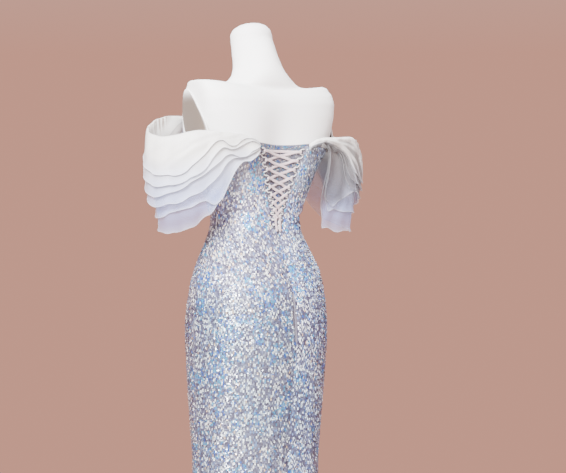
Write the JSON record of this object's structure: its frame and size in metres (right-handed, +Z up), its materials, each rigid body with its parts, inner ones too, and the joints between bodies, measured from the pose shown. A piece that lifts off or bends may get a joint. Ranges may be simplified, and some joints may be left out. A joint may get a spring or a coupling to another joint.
{
  "type": "evening gown on dress form",
  "caption": "Floor-length off-the-shoulder sheath gown with a laced V back and tiered flounce sleeves, on a limbless dress form with a pole stand.",
  "frame": {"origin": "centre of the underside of the stand's round base, on the floor", "axes": "+Z up along the pole, -Y towards the front of the gown, +X towards the wearer's left"},
  "size_m": [0.6195, 0.453, 1.558],
  "materials": {
    "sequin_fabric": "silver mesh cloth closely sewn with small iridescent round sequins",
    "loop_cord": "white round cord",
    "satin_lace": "pale pinkish-white satin ribbon",
    "organza": "thin white organza",
    "form_linen": "white linen cover over a padded form",
    "arm_plate": "cloth-covered flat plate, greyish beige",
    "pole_steel": "plain steel tube",
    "base_paint": "satin light grey paint"
  },
  "bodies": {
    "root": {"front_panel": "sequin_fabric", "back_panel_left": "sequin_fabric", "back_panel_right": "sequin_fabric", "modesty_panel": "sequin_fabric", "lacing_loops_left": "loop_cord", "lacing_loops_right": "loop_cord", "back_lace": "satin_lace", "flounce_left_1": "organza", "flounce_left_2": "organza", "flounce_left_3": "organza", "flounce_left_4": "organza", "flounce_left_5": "organza", "flounce_left_6": "organza", "flounce_right_1": "organza", "flounce_right_2": "organza", "flounce_right_3": "organza", "flounce_right_4": "organza", "flounce_right_5": "organza", "flounce_right_6": "organza", "form_torso": "form_linen", "form_arm_plate_left": "arm_plate", "form_arm_plate_right": "arm_plate", "form_pole": "pole_steel", "form_base": "base_paint"}
  },
  "joints": []
}
